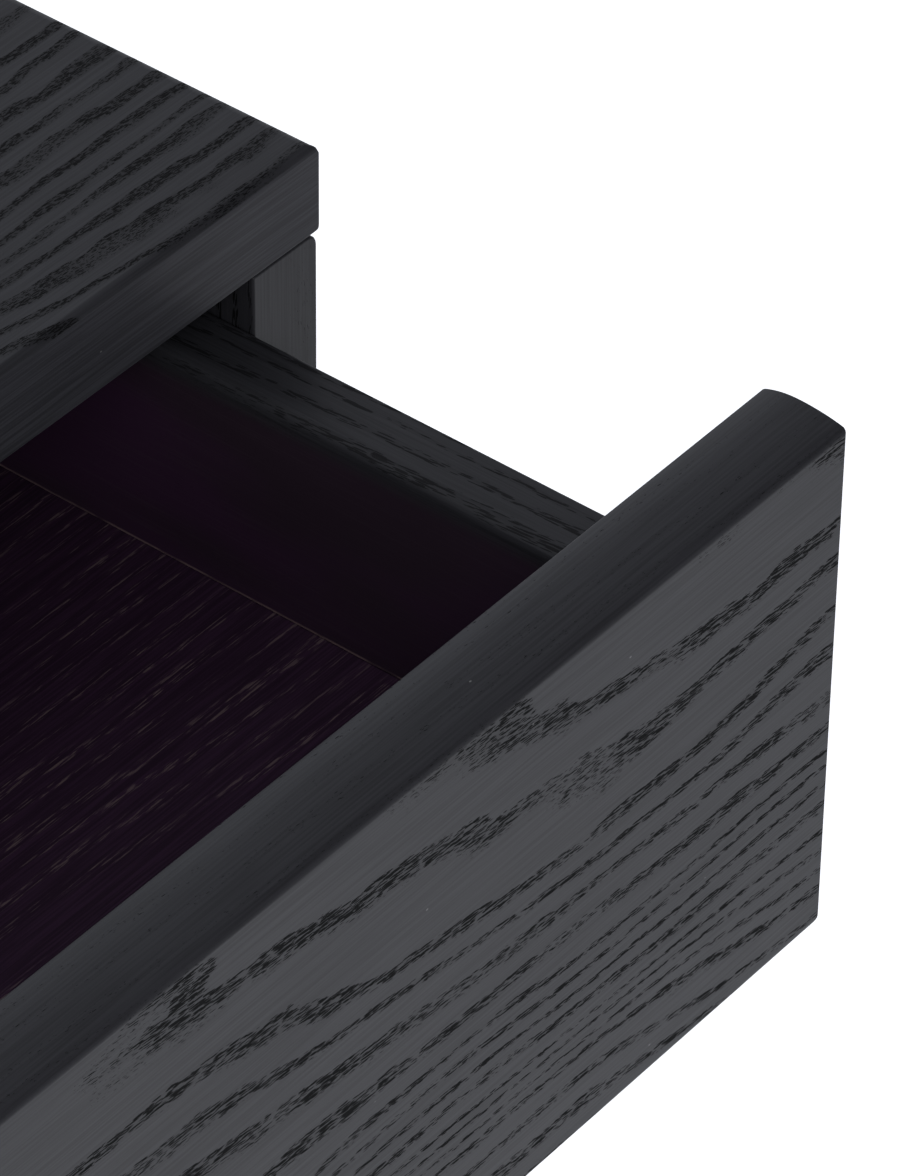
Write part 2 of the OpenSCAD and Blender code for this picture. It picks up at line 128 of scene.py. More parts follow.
class TableFinish(bpy.types.PropertyGroup):
    """Colours and sheen of the finishes."""

    stain: FloatVectorProperty(
        name="Stain", description="Black stain on the outer wood",
        default=(0.0205, 0.0205, 0.0238), size=3, subtype="COLOR", min=0, max=1,
    )
    inner_stain: FloatVectorProperty(
        name="Inner stain", description="Thin purple-black stain inside the drawers",
        default=(0.0270, 0.0115, 0.0280), size=3, subtype="COLOR", min=0, max=1,
    )
    pore: FloatVectorProperty(
        name="Pore", description="Bottom of the open pores",
        default=(0.0026, 0.0026, 0.0030), size=3, subtype="COLOR", min=0, max=1,
    )
    sheen: FloatProperty(
        name="Sheen roughness", description="Roughness of the satin lacquer",
        default=0.28, min=0.05, max=1, subtype="FACTOR",
    )
    ring: FloatProperty(
        name="Ring width", description="Usual width of a growth ring",
        default=5.0 * MM, min=1 * MM, max=12 * MM, unit="LENGTH",
    )
    pore_length: FloatProperty(
        name="Pore length", description="Length of the cell that holds one open pore",
        default=9.5 * MM, min=1 * MM, max=15 * MM, unit="LENGTH",
    )
    pore_width: FloatProperty(
        name="Pore width", description="Width of the cell that holds one open pore",
        default=0.70 * MM, min=0.1 * MM, max=2 * MM, unit="LENGTH",
    )


class StudioSettings(bpy.types.PropertyGroup):
    """Floor, light and camera."""

    floor: FloatVectorProperty(
        name="Floor", description="Colour of the floor",
        default=(0.90, 0.90, 0.90), size=3, subtype="COLOR", min=0, max=1,
    )
    floor_glow: FloatProperty(
        name="Floor glow", description="Light that comes through the floor, as on a lit studio table",
        default=0.7, min=0, max=2,
    )
    floor_size: FloatProperty(
        name="Floor size", description="Side of the square floor",
        default=60.0, min=5, max=200, unit="LENGTH",
    )
    overhead: FloatProperty(
        name="Overhead light", description="Power of the large softbox above the table",
        default=8.0, min=0, max=2000, unit="POWER",
    )
    front: FloatProperty(
        name="Front light", description="Power of the softbox in front of the table, to its left",
        default=60.0, min=0, max=2000, unit="POWER",
    )
    fill: FloatProperty(
        name="Fill light", description="Power of the softbox behind the camera",
        default=32.0, min=0, max=2000, unit="POWER",
    )
    azimuth: FloatProperty(
        name="Azimuth", description="Direction the camera looks from, round the table",
        default=math.radians(-51.71), subtype="ANGLE",
    )
    elevation: FloatProperty(
        name="Elevation", description="Height angle of the camera",
        default=math.radians(40.07), subtype="ANGLE",
    )
    roll: FloatProperty(
        name="Roll", description="Turn of the camera about its own axis",
        default=math.radians(0.73), subtype="ANGLE",
    )
    distance: FloatProperty(
        name="Distance", description="From the camera to the point it looks at",
        default=1.4157, min=0.2, max=20, unit="LENGTH",
    )
    aim: FloatVectorProperty(
        name="Aim", description="Point the camera looks at, from the slab's lower right front corner",
        default=(-0.0323, -0.0600, -0.0415), size=3, subtype="TRANSLATION", unit="LENGTH",
    )
    lens: FloatProperty(
        name="Lens", description="Focal length of the camera in millimetres", default=218.07, min=10, max=400,
    )


def edges():
    return bpy.context.scene.table_edges


def finish():
    return bpy.context.scene.table_finish


def studio():
    return bpy.context.scene.table_studio


# ---------------------------------------------------------------- shader maths


class Wire:
    """A shader value that can be used in arithmetic. Each operation adds one Math node."""

    def __init__(self, bench, socket):
        self.bench = bench
        self.socket = socket

    def maths(self, operation, *others, clamp=False):
        node = self.bench.node(
            "ShaderNodeMath", {"operation": operation, "use_clamp": clamp},
            dict(enumerate((self, *others))),
        )
        return node["Value"]

    def __add__(self, other):
        return self.maths("ADD", other)

    __radd__ = __add__

    def __mul__(self, other):
        return self.maths("MULTIPLY", other)

    __rmul__ = __mul__

    def __sub__(self, other):
        return self.maths("SUBTRACT", other)

    def __rsub__(self, other):
        return self.bench.number(other).maths("SUBTRACT", self)

    def __truediv__(self, other):
        return self.maths("DIVIDE", other)

    def __pow__(self, other):
        return self.maths("POWER", other)

    def fraction(self):
        return self.maths("FRACT")

    def step(self, low, high, to_low=0.0, to_high=1.0):
        """Smooth step from to_low at low to to_high at high."""
        node = self.bench.node(
            "ShaderNodeMapRange", {"interpolation_type": "SMOOTHSTEP"},
            {"Value": self, "From Min": low, "From Max": high, "To Min": to_low, "To Max": to_high},
        )
        return node["Result"]


class Outputs:
    """The outputs of a node, by name."""

    def __init__(self, bench, node):
        self.bench = bench
        self.made = node

    def __getitem__(self, name):
        return Wire(self.bench, self.made.outputs[name])


class Bench:
    """The node tree of one material or of the world."""

    def __init__(self, tree):
        self.tree = tree
        tree.nodes.clear()

    def node(self, kind, settings=None, sockets=None):
        """Adds a node, makes its settings, then links or sets its sockets."""
        made = self.tree.nodes.new(kind)
        for name, value in (settings or {}).items():
            if name == "stops":
                self.set_stops(made.color_ramp, value)
            else:
                setattr(made, name, value)
        for name, value in (sockets or {}).items():
            if isinstance(value, Wire):
                self.tree.links.new(value.socket, made.inputs[name])
            else:
                made.inputs[name].default_value = value
        return Outputs(self, made)

    @staticmethod
    def set_stops(ramp, stops):
        while len(ramp.elements) < len(stops):
            ramp.elements.new(1.0)
        for element, (place, colour) in zip(ramp.elements, stops):
            element.position = place
            element.color = colour

    def number(self, value):
        return self.node("ShaderNodeMath", {"operation": "ADD"}, {0: value, 1: 0.0})["Value"]

    def vector(self, operation, first, second):
        return self.node("ShaderNodeVectorMath", {"operation": operation}, {0: first, 1: second})["Vector"]

    def noise(self, place, scale=1.0, detail=2.0, roughness=0.5):
        node = self.node(
            "ShaderNodeTexNoise", None,
            {"Vector": place, "Scale": scale, "Detail": detail, "Roughness": roughness},
        )
        return node["Fac"]

    def colour_mix(self, factor, first, second):
        node = self.node(
            "ShaderNodeMix", {"data_type": "RGBA"},
            {"Factor": factor, 6: colour_of(first), 7: colour_of(second)},
        )
        return Wire(self, node.made.outputs[2])

    def bump(self, height, distance, strength=1.0):
        return self.node(
            "ShaderNodeBump", None, {"Height": height, "Distance": distance, "Strength": strength}
        )["Normal"]

    def surface(self, sockets):
        """Ends the material in one Principled shader."""
        shader = self.node("ShaderNodeBsdfPrincipled", None, sockets)
        self.node("ShaderNodeOutputMaterial", None, {"Surface": shader["BSDF"]})


def colour_of(value):
    return value if isinstance(value, Wire) else (*value, 1.0)


def new_material(name):
    material = bpy.data.materials.new(name)
    material.use_nodes = True
    return material, Bench(material.node_tree)


def board_place(bench, cut):
    """Millimetres on a board: X runs along its grain, Y across its face and Z through it."""
    place = bench.node("ShaderNodeTexCoord")["Object"]
    parts = bench.node("ShaderNodeSeparateXYZ", None, {0: place})
    along, across, through = (parts["XYZ"[AXES[axis]]] for axis in cut["axes"])
    turned = bench.node("ShaderNodeCombineXYZ", None, {0: along, 1: across, 2: through})["Vector"]
    scaled = bench.vector("SCALE", turned, (0, 0, 0))
    scaled.socket.node.inputs["Scale"].default_value = 1 / MM
    return bench.vector("ADD", scaled, cut["shift"])


def growth_rings(bench, place, cut):
    """Where a point lies in its growth ring, from 0 at the spring side to 1."""
    ring = finish().ring / MM * cut.get("ring", 1.0)
    broad = bench.noise(bench.vector("MULTIPLY", place, (1 / 240, 1 / 60, 1 / 60)), detail=1.0)
    wavy = bench.noise(bench.vector("MULTIPLY", place, (1 / 40, 1 / 14, 1 / 14)), detail=2.0)
    parts = bench.node("ShaderNodeSeparateXYZ", None, {0: place})
    across = parts["Y"] + (broad - 0.5) * cut.get("wander", 60.0)
    depth = parts["Z"] + parts["X"] * cut.get("taper", 0.03) + cut["heart"]
    radius = (across * across + depth * depth) ** 0.5
    uneven = bench.noise(
        bench.node("ShaderNodeCombineXYZ", None, {0: radius / (3.1 * ring)})["Vector"], detail=1.0
    )
    ragged = bench.noise(bench.vector("MULTIPLY", place, (1 / 13, 1 / 5, 1 / 5)), detail=1.0)
    shaken = radius + (wavy - 0.5) * cut.get("wavy", 3.2) + (ragged - 0.5) * cut.get("ragged", 1.2)
    return (shaken / ring + uneven * 2.2).fraction()


def pore_layer(bench, along, across, length, width, reach):
    """One layer of short dashes along the grain, each of its own size. 1 in a dash."""
    place = bench.node("ShaderNodeCombineXYZ", None, {0: along / length, 1: across / width})["Vector"]
    cells = bench.node(
        "ShaderNodeTexVoronoi", {"feature": "F1", "voronoi_dimensions": "2D"}, {"Vector": place, "Scale": 1.0}
    )
    own = bench.node("ShaderNodeSeparateColor", None, {0: cells["Color"]})["Red"]
    return (cells["Distance"] - reach * (0.55 + 0.6 * own)).step(-0.03, 0.015, 1.0, 0.0)


def open_pores(bench, place, spring, cut):
    """Open pores of two sizes, dense in the spring wood. 1 in a pore."""
    length = finish().pore_length / MM * cut.get("pore", 1.0)
    width = finish().pore_width / MM * cut.get("fine", 1.0)
    fill = cut.get("fill", 0.41)
    parts = bench.node("ShaderNodeSeparateXYZ", None, {0: place})
    shaky = bench.noise(bench.vector("MULTIPLY", place, (1 / 3, 1 / 1.2, 1 / 1.2)), detail=2.0)
    across = parts["Y"] + parts["Z"] * 0.83 + parts["X"] * 0.07 + shaky * 0.3
    long_ones = pore_layer(bench, parts["X"], across, length, width, spring * fill)
    short_ones = pore_layer(bench, parts["X"] + 91.7, across, length * 0.55, width * 0.8, spring * fill * 0.9)
    return long_ones.maths("MAXIMUM", short_ones)


def open_pore_wood(name, cut):
    """Black stained, thinly lacquered ash with open pores.

    cut says how the board was sawn: its axes, its shift from the heart of the log and how lively its
    grain is. calm in it names an axis and the two places on it where the grain is lively and quiet.
    """
    material, bench = new_material(name)
    place = board_place(bench, cut)
    parts = bench.node("ShaderNodeSeparateXYZ", None, {0: place})
    phase = growth_rings(bench, place, cut)
    late = cut.get("late", 0.46)
    spring = phase.step(0.0, 0.05) * phase.step(late * 0.55, late, 1.0, 0.0)
    calm = bench.number(0.0)
    if "calm" in cut:
        axis, lively, quiet = cut["calm"]
        ends = (0.0, 1.0) if quiet > lively else (1.0, 0.0)
        calm = parts[axis].step(min(lively, quiet), max(lively, quiet), *ends)
        spring = spring * (1.0 - calm * (1.0 - cut["calm_grain"]))
    patchy = bench.noise(bench.vector("MULTIPLY", place, (1 / 26, 1 / 7, 1 / 7)), detail=1.0)
    spring = spring * patchy.step(0.3, 0.58, 0.62, 1.0)
    pores = open_pores(bench, place, spring, cut) * cut.get("depth", 1.0)
    fibre = bench.noise(bench.vector("MULTIPLY", place, (1 / 30, 1 / 0.5, 1 / 0.5)), detail=3.0)
    cloud = bench.noise(bench.vector("MULTIPLY", place, (1 / 90, 1 / 35, 1 / 35)), detail=2.0)
    speck_cells = bench.node(
        "ShaderNodeTexVoronoi", {"feature": "F1"},
        {"Vector": bench.vector("MULTIPLY", place, (0.07, 0.12, 0.12)), "Scale": 1.0},
    )["Distance"]
    specks = speck_cells.step(0.016, 0.03, 1.0, 0.0)
    streak = spring * cut.get("streak", 0.1)
    gloss = (0.9 + 0.4 * (fibre - 0.5) + 0.3 * (cloud - 0.5)) * cut.get("gloss", 0.32) * (1.0 - streak)
    gloss = gloss * (1.0 - calm * (1.0 - cut.get("calm_gloss", 1.0)))
    dull = pores * 0.96
    dark = [c * 0.8 for c in finish().stain]
    pale = [c * 1.2 for c in finish().stain]
    tone = bench.colour_mix(fibre.step(0.3, 0.7), dark, pale)
    tone = bench.colour_mix((streak + pores).maths("MINIMUM", 1.0), tone, finish().pore)
    # Painted light: in the calm zone (the slab's front face) the base colour is lifted to a paler grey,
    # streaked along the grain, standing in for light on that face
    painted_front_light = bench.colour_mix(
        fibre.step(0.36, 0.64), [c * 1.8 for c in finish().stain], [c * 3.1 for c in finish().stain]
    )
    tone = bench.colour_mix(calm * cut.get("calm_painted_light", 0.0), tone, painted_front_light)
    if "inner_below" in cut:
        facing = parts["Z"].step(*cut["inner_side"])
        inner = parts["Y"].step(*cut["inner_below"], 1.0, 0.0) * facing
        rubbed = (0.2 + 0.6 * spring) * fibre.step(0.52, 0.66)
        full = [c * 1.25 for c in finish().inner_stain]
        thin = bench.colour_mix(cloud.step(0.40, 0.65), full, (0.0250, 0.0150, 0.0240))
        thin = bench.colour_mix(rubbed * 0.5, thin, (0.055, 0.040, 0.052))
        tone = bench.colour_mix(inner, tone, thin)
        gloss = gloss * (1.0 - inner * 0.85)
        # Painted highlight: a pale, broken line on the inner face just above the groove for the bottom,
        # standing in for light caught at the side/bottom junction
        rough = bench.noise(bench.vector("MULTIPLY", place, (1 / 9, 1 / 2, 1 / 2)), detail=3.0)
        painted_junction_highlight = parts["Y"].step(cut["worn_at"] + 0.5, cut["worn_at"] + 1.0, 1.0, 0.0) * facing
        tone = bench.colour_mix(painted_junction_highlight * rough.step(0.3, 0.6), tone, (0.17, 0.115, 0.12))
    tone = bench.colour_mix(specks * 0.5, tone, (0.22, 0.22, 0.22))
    height = fibre * 0.1 - pores - spring * 0.1
    bench.surface(
        {
            "Base Color": tone,
            "Roughness": 0.6 + pores * 0.3,
            "Specular IOR Level": 0.1,
            "Coat Weight": gloss * (1.0 - dull),
            "Coat Roughness": finish().sheen,
            "Coat IOR": 1.5,
            "Normal": bench.bump(height, 0.12 * MM, 0.8),
        }
    )
    return material


def inner_wood(name, cut):
    """Thin matt purple-black stain, with light brushed streaks in the spring wood."""
    material, bench = new_material(name)
    place = board_place(bench, cut)
    phase = growth_rings(bench, place, cut)
    spring = phase.step(0.0, 0.1) * phase.step(0.25, 0.5, 1.0, 0.0)
    fibre = bench.noise(bench.vector("MULTIPLY", place, (1 / 22, 1 / 0.45, 1 / 0.45)), detail=4.0)
    broken = bench.noise(bench.vector("MULTIPLY", place, (1 / 5, 1 / 0.6, 1 / 0.6)), detail=3.0)
    patchy = bench.noise(bench.vector("MULTIPLY", place, (1 / 50, 1 / 30, 1 / 30)), detail=1.0)
    streak = spring * broken.step(0.46, 0.6) * fibre.step(0.46, 0.58) * patchy.step(0.35, 0.6, 0.35, 1.0)
    dark = [c * 0.7 for c in finish().inner_stain]
    pale = [c * 1.3 for c in finish().inner_stain]
    tone = bench.colour_mix(fibre.step(0.35, 0.7), dark, pale)
    tone = bench.colour_mix(streak * 0.9, tone, (0.115, 0.080, 0.085))
    height = fibre * 0.3 + streak * 0.4
    bench.surface(
        {
            "Base Color": tone,
            "Roughness": 0.72 - streak * 0.2,
            "Specular IOR Level": 0.12,
            "Coat Weight": streak * 0.3 + 0.03,
            "Coat Roughness": 0.45,
            "Normal": bench.bump(height, 0.06 * MM, 0.7),
        }
    )
    return material


def raw_beech(name):
    """Plain beech of the dowels: warm, with short dark flecks."""
    material, bench = new_material(name)
    place = board_place(bench, {"axes": "XYZ", "shift": (0, 0, 0)})
    grain = bench.noise(bench.vector("MULTIPLY", place, (0.35, 0.9, 0.9)), detail=4.0)
    fleck = bench.noise(bench.vector("MULTIPLY", place, (1.2, 1.2, 1.2)), detail=1.0).step(0.62, 0.7)
    tone = bench.colour_mix(grain, (0.52, 0.33, 0.18), (0.72, 0.52, 0.32))
    tone = bench.colour_mix(fleck * 0.5, tone, (0.30, 0.16, 0.08))
    bench.surface(
        {"Base Color": tone, "Roughness": 0.6 + grain * 0.15, "Normal": bench.bump(grain, 0.1 * MM, 0.6)}
    )
    return material


def zinc_plate(name):
    """Zinc plated steel: cloudy bluish grey with fine turning marks and dull spots."""
    material, bench = new_material(name)
    place = board_place(bench, {"axes": "XYZ", "shift": (0, 0, 0)})
    cloud = bench.noise(bench.vector("MULTIPLY", place, (0.4, 0.4, 0.4)), detail=4.0)
    marks = bench.noise(bench.vector("MULTIPLY", place, (4.0, 4.0, 4.0)), detail=2.0)
    tone = bench.colour_mix(cloud, (0.50, 0.52, 0.55), (0.74, 0.74, 0.72))
    bench.surface(
        {
            "Base Color": tone,
            "Metallic": 0.96,
            "Roughness": 0.26 + cloud * 0.22,
            "Normal": bench.bump(marks, 0.03 * MM, 0.4),
        }
    )
    return material


def plastic(name, light, dark, roughness, distance):
    """Moulded plastic with a fine even texture and faint clouding."""
    material, bench = new_material(name)
    place = board_place(bench, {"axes": "XYZ", "shift": (0, 0, 0)})
    cloud = bench.noise(bench.vector("MULTIPLY", place, (0.12, 0.12, 0.12)), detail=3.0)
    texture = bench.noise(bench.vector("MULTIPLY", place, (3.0, 3.0, 3.0)), detail=2.0)
    bench.surface(
        {
            "Base Color": bench.colour_mix(cloud, dark, light),
            "Roughness": roughness + texture * 0.12,
            "Normal": bench.bump(texture, distance, 0.5),
        }
    )
    return material


# ---------------------------------------------------------------- modelling


def deselect():
    if bpy.context.mode != "OBJECT":
        bpy.ops.object.mode_set(mode="OBJECT")
    bpy.ops.object.select_all(action="DESELECT")


def take(piece):
    """Makes a piece the only selected one."""
    deselect()
    piece.select_set(True)
    bpy.context.view_layer.objects.active = piece


def settle(piece):
    """Puts a piece's place and size into its mesh."""
    take(piece)
    bpy.ops.object.transform_apply(location=True, rotation=True, scale=True)


def block(name, low, high):
    """A box between two corners, as the start of a board."""
    deselect()
    bpy.ops.mesh.primitive_cube_add(size=1, location=(low + high) / 2)
    piece = bpy.context.object
    piece.name = piece.data.name = name
    piece.scale = high - low
    settle(piece)
    return piece


def add_modifier(piece, kind, **settings):
    take(piece)
    bpy.ops.object.modifier_add(type=kind)
    modifier = piece.modifiers[-1]
    for name, value in settings.items():
        setattr(modifier, name, value)
    bpy.ops.object.modifier_apply(modifier=modifier.name)


def sides_of(point, low, high, near=1e-5):
    """The sides of a box that a point lies on, such as {"left", "top"}."""
    found = set()
    for axis, names in enumerate(SIDES):
        for name, level in zip(names, (low[axis], high[axis])):
            if abs(point[axis] - level) < near:
                found.add(name)
    return found


def bevel(piece, radius_of):
    """Rounds each edge of a piece by the radius that radius_of gives for its two ends."""
    mesh = piece.data
    ends = ([mesh.vertices[i].co for i in edge.vertices] for edge in mesh.edges)
    wanted = [radius_of(first, second) for first, second in ends]
    if "bevel_weight_edge" in mesh.attributes:
        mesh.attributes.remove(mesh.attributes["bevel_weight_edge"])
    weights = mesh.attributes.new("bevel_weight_edge", "FLOAT", "EDGE")
    for weight, radius in zip(weights.data, wanted):
        weight.value = radius / max(wanted)
    add_modifier(
        piece, "BEVEL", width=max(wanted), limit_method="WEIGHT", segments=edges().steps,
        use_clamp_overlap=False, miter_outer="MITER_SHARP",
    )


def round_edges(piece, radii, low, high, lips=()):
    """Rounds a board. radii gives the radius of an edge by the two sides that meet there.

    The other edges are eased. lips are the heights of the edges of a groove. Where only edges that run
    from front to back have a radius, they are rounded first, so that both ends of the board follow them.
    """

    def shared(first, second):
        return sides_of(first, low, high) & sides_of(second, low, high)

    def long_edge(first, second):
        return radii.get(" ".join(sorted(shared(first, second))), 0.0)

    def any_edge(first, second):
        sides = shared(first, second)
        if len(sides) == 2:
            return radii.get(" ".join(sorted(sides)), edges().eased)
        slanted = min(abs(first.x - second.x), abs(first.z - second.z)) > 1e-6
        on_arc = slanted and sides in ({"front"}, {"back"})
        on_lip = sides and any(max(abs(first.z - lip), abs(second.z - lip)) < 1e-5 for lip in lips)
        return edges().eased if on_arc or on_lip else 0.0

    runs_back = not any({"front", "back"} & set(sides.split()) for sides in radii)
    if radii and runs_back and not lips:
        bevel(piece, long_edge)
    bevel(piece, any_edge)


def cut_away(piece, tools):
    """Cuts the tools out of a piece and throws them away."""
    deselect()
    for tool in tools:
        tool.select_set(True)
    bpy.context.view_layer.objects.active = tools[0]
    if len(tools) > 1:
        bpy.ops.object.join()
    tool = bpy.context.object
    add_modifier(piece, "BOOLEAN", operation="DIFFERENCE", object=tool, solver="EXACT")
    take(tool)
    bpy.ops.object.delete()


def cut_groove(piece, low, high):
    cut_away(piece, [block("groove", Vector(low), Vector(high))])


def islands(node):
    """Corners of the separate solids of a node."""
    shape = bmesh.new()
    shape.from_mesh(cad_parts[node].data)
    bmesh.ops.remove_doubles(shape, verts=shape.verts, dist=1e-6)
    seen = set()
    found = []
    for start in shape.verts:
        if start in seen:
            continue
        group = [start]
        seen.add(start)
        for point in group:
            for edge in point.link_edges:
                other = edge.other_vert(point)
                if other not in seen:
                    seen.add(other)
                    group.append(other)
        found.append([Vector(pick(p.co[axis] for p in group) for axis in range(3)) for pick in (min, max)])
    shape.free()
    return found


def pull_end(tool, sign, reach):
    """Draws out the flat end of a round tool along Z."""
    take(tool)
    bpy.ops.object.mode_set(mode="EDIT")
    bpy.ops.mesh.select_mode(type="FACE")
    bpy.ops.mesh.select_all(action="DESELECT")
    shape = bmesh.from_edit_mesh(tool.data)
    for face in shape.faces:
        face.select = face.normal.z * sign > 0.99
    bmesh.update_edit_mesh(tool.data)
    bpy.ops.mesh.extrude_region_move(TRANSFORM_OT_translate={"value": (0, 0, sign * reach)})
    bpy.ops.object.mode_set(mode="OBJECT")


def bore(piece, node, out, flat=False):
    """Cuts the holes of a node's screws, or of its discs if flat. They open along out."""
    low, high = (Vector(pick(c[axis] for c in piece.bound_box) for axis in range(3)) for pick in (min, max))
    out = Vector(out)
    axis = max(range(3), key=lambda i: abs(out[i]))
    room = 0.05 * MM
    tools = []
    for start, end in islands(node):
        middle = (start + end) / 2
        if any(middle[i] < low[i] - MM or middle[i] > high[i] + MM for i in range(3) if i != axis):
            continue
        mouth = middle.copy()
        mouth[axis] = end[axis] if out[axis] > 0 else start[axis]
        if not low[axis] - MM < mouth[axis] < high[axis] + MM:
            continue
        head = (end - start)[(axis + 1) % 3] / 2
        length = (end - start)[axis]
        deselect()
        if flat:
            bpy.ops.mesh.primitive_cylinder_add(vertices=48, radius=head + room, depth=length)
            tool = bpy.context.object
            tool.location = mouth - out * length / 2
        else:
            bpy.ops.mesh.primitive_cone_add(
                vertices=32, radius1=head / 2 + room, radius2=head + room, depth=head / 2
            )
            tool = bpy.context.object
            pull_end(tool, -1, length - head / 2)
            tool.location = mouth - out * head / 4
        pull_end(tool, 1, MM)
        tool.rotation_euler = out.to_track_quat("Z", "Y").to_euler()
        settle(tool)
        tools.append(tool)
    cut_away(piece, tools)


def smooth(piece):
    take(piece)
    bpy.ops.object.shade_smooth()
    add_modifier(piece, "WEIGHTED_NORMAL", keep_sharp=True, weight=80)


def dress(piece, material, body, slot, *nodes):
    """Gives a finished piece its material, its body and the nodes that it stands for."""
    piece.data.materials.clear()
    piece.data.materials.append(material)
    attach(piece, body)
    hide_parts(*nodes)


def dress_node(node, material):
    """Gives a carried-over part its material."""
    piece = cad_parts[node]
    piece.data.materials.clear()
    piece.data.materials.append(material)


def board(node, body, slot, radii, material, bores=(), groove=None):
    """One wooden board in place of a plain one of the frame, with its groove and its bores."""
    low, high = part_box(node)
    piece = block(node + "_wood", low, high)
    lips = ()
    if groove:
        cut_groove(piece, *groove)
        lips = (groove[0][2], groove[1][2])
    round_edges(piece, radii, low, high, lips)
    for bored in bores:
        bore(piece, *bored)
    smooth(piece)
    dress(piece, material, body, slot, node)
    return piece


# ---------------------------------------------------------------- pieces


class TABLE_OT_top_slab(bpy.types.Operator):
    """Slab top with rounded ends and softly rounded long edges"""

    bl_idname = "table.top_slab"
    bl_label = "Top Slab"

    def execute(self, context):
        e = edges()
        radii = {
            "left top": e.slab_end, "right top": e.slab_end,
            "bottom left": e.groove, "bottom right": e.groove,
            "front top": e.slab_front, "back top": e.slab_front,
        }
        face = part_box("top_slab")[0].y / MM
        cut = {
            "axes": "XYZ", "shift": (0, 0, -738), "heart": 24.0, "taper": 0.02, "ring": 1.05,
            "wavy": 5.5, "ragged": 2.4, "late": 0.55, "streak": 0.42,
            "pore": 0.3, "fill": 0.42, "fine": 0.62, "depth": 0.75,
            "calm": ("Y", face + 0.25, face + 0.05),
            # calm_painted_light makes the slab's front face paler in colour: painted light on that face
            "calm_grain": 0.15, "calm_gloss": 0.25, "calm_painted_light": 0.45,
        }
        board("top_slab", "table", "black_stained_wood", radii, open_pore_wood("slab wood", cut))
        return {"FINISHED"}


class TABLE_OT_end_panels(bpy.types.Operator):
    """Upright end panels with a rounded outer upper edge"""

    bl_idname = "table.end_panels"
    bl_label = "End Panels"

    def execute(self, context):
        for side, shift in (("left", (300, 40, 580)), ("right", (-700, -20, -590))):
            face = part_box(f"{side}_end_panel")[0].y / MM + shift[1]
            cut = {
                "axes": "ZYX", "shift": shift, "heart": 40.0,
                "calm": ("Y", face + 1.15, face + 0.15), "calm_grain": 0.15, "calm_gloss": 0.75,
            }
            radii = {f"{side} top": edges().groove}
            inward = (1, 0, 0) if side == "left" else (-1, 0, 0)
            board(
                f"{side}_end_panel", "table", "black_stained_wood", radii,
                open_pore_wood(f"{side} panel wood", cut), [("cam_discs", inward, True)],
            )
        return {"FINISHED"}


class TABLE_OT_case_boards(bpy.types.Operator):
    """Board under the drawers, panel behind them and the divider between them"""

    bl_idname = "table.case_boards"
    bl_label = "Case Boards"

    def execute(self, context):
        outer = open_pore_wood("bottom board wood", {"axes": "XYZ", "shift": (500, 90, -641), "heart": 50.0})
        bores = [("divider_screws", (0, 0, -1)), ("cam_discs", (0, 0, 1), True)]
        board("bottom_board", "table", "black_stained_wood", {}, outer, bores)
        back = open_pore_wood("back panel wood", {"axes": "XZY", "shift": (-300, -700, -250), "heart": 30.0})
        board("back_panel", "table", "black_stained_wood", {}, back, [("back_panel_screws", (0, 1, 0))])
        inner = inner_wood("divider wood", {"axes": "YZX", "shift": (0, -690, 0), "heart": 30.0})
        board("centre_divider", "table", "dark_inner_wood", {}, inner, [("cam_discs", (-1, 0, 0), True)])
        return {"FINISHED"}


class TABLE_OT_drawer_fronts(bpy.types.Operator):
    """Thick drawer fronts with a crowned top"""

    bl_idname = "table.drawer_fronts"
    bl_label = "Drawer Fronts"

    def crown(self, piece, low, high):
        """Cuts the top into strips and lowers their edges to the arcs of the crown."""
        e = edges()
        peak = high.y - e.crown_peak
        first = low.y + e.front * 1.5
        last = high.y - e.eased * 2
        take(piece)
        bpy.ops.object.mode_set(mode="EDIT")
        for i in range(e.crown_strips):
            place = (0, first + (last - first) * i / (e.crown_strips - 1), 0)
            bpy.ops.mesh.select_all(action="SELECT")
            bpy.ops.mesh.bisect(plane_co=place, plane_no=(0, 1, 0))
        bpy.ops.mesh.select_all(action="DESELECT")
        shape = bmesh.from_edit_mesh(piece.data)
        for point in shape.verts:
            if abs(point.co.z - high.z) < 1e-6:
                radius = e.crown_front if point.co.y < peak else e.crown_back
                reach = point.co.y - peak
                point.co.z = high.z - radius + math.sqrt(radius * radius - reach * reach)
        bmesh.update_edit_mesh(piece.data)
        bpy.ops.object.mode_set(mode="OBJECT")

    def round_front(self, piece, low, high):
        """Rounds a crowned front. Its lower corners are the roundest."""
        e = edges()
        top = high.z - 3 * MM

        def radius_of(first, second):
            sides = (sides_of(first, low, high) & sides_of(second, low, high)) - {"top"}
            if first.z > top and second.z > top:
                sides = sides | {"top"}
            if len(sides) < 2:
                return 0.0
            if "front" in sides and sides & {"top", "bottom"}:
                return e.front
            if "bottom" in sides and sides & {"left", "right"}:
                return e.front_corner
            return e.crisp if sides == {"back", "top"} else e.eased

        bevel(piece, radius_of)

    def execute(self, context):
        for drawer, shift in (("left", (500, -560, 0)), ("right", (-385, -757, 0))):
            node = f"{drawer}_drawer_front"
            low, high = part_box(node)
            piece = block(node + "_wood", low, high)
            self.crown(piece, low, high)
            self.round_front(piece, low, high)
            smooth(piece)
            crest = high.z / MM + shift[1]
            cut = {
                "axes": "XZY", "shift": shift, "heart": 180.0, "taper": 0.05,
                "streak": 0.04, "pore": 0.62, "fill": 0.44, "fine": 0.8,
                "calm": ("Y", crest - 3.8, crest - 2.4), "calm_grain": 0.2, "calm_gloss": 0.8,
            }
            material = open_pore_wood(f"{drawer} front wood", cut)
            dress(piece, material, f"{drawer}_drawer", "black_stained_wood", node)
        return {"FINISHED"}


